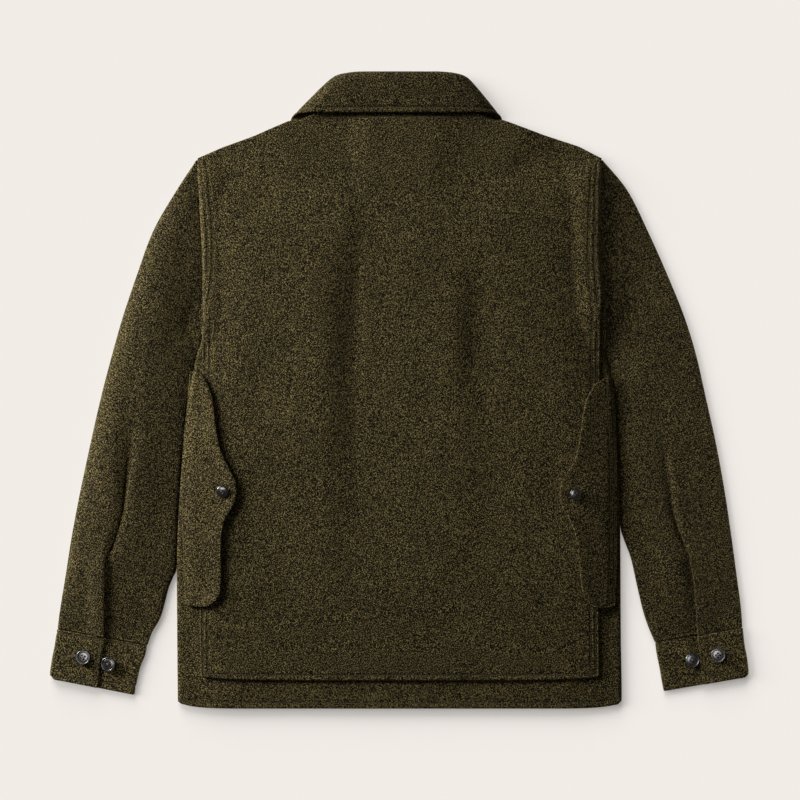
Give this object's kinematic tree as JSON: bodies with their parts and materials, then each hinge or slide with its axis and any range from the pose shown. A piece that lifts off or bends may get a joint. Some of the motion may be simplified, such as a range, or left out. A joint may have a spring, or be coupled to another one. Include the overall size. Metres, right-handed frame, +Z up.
{
  "type": "mackinaw jacket",
  "caption": "Thick wool field jacket laid face down, with a fold-down collar, a full-back outer pocket panel, scalloped side flaps and buttoned cuffs.",
  "frame": {"origin": "middle of the laid-out jacket's box, on the surface it lies on", "axes": "+Z up out of the jacket's back, +X across it towards the wearer's right sleeve, +Y from the hem to the collar"},
  "size_m": [0.852, 0.775, 0.0177],
  "materials": {
    "wool": "heathered dark olive wool melton, fulled and slightly fuzzy",
    "button": "dark polished horn-like resin",
    "thread": "twisted sewing thread, olive, and red-brown at the buttonholes"
  },
  "bodies": {
    "root": {"front_left": "wool", "front_right": "wool", "back_body": "wool", "back_pocket_panel": "wool", "collar": "wool", "flap_left": "wool", "flap_right": "wool", "sleeve_left": "wool", "sleeve_right": "wool", "cuff_left": "wool", "cuff_right": "wool", "button_cuff_left_fastened": "button", "button_cuff_left_spare": "button", "button_cuff_right_fastened": "button", "button_cuff_right_spare": "button", "button_flap_left": "button", "button_flap_right": "button", "button_front_1": "button", "button_front_2": "button", "button_front_3": "button", "button_front_4": "button", "button_front_5": "button"}
  },
  "joints": []
}
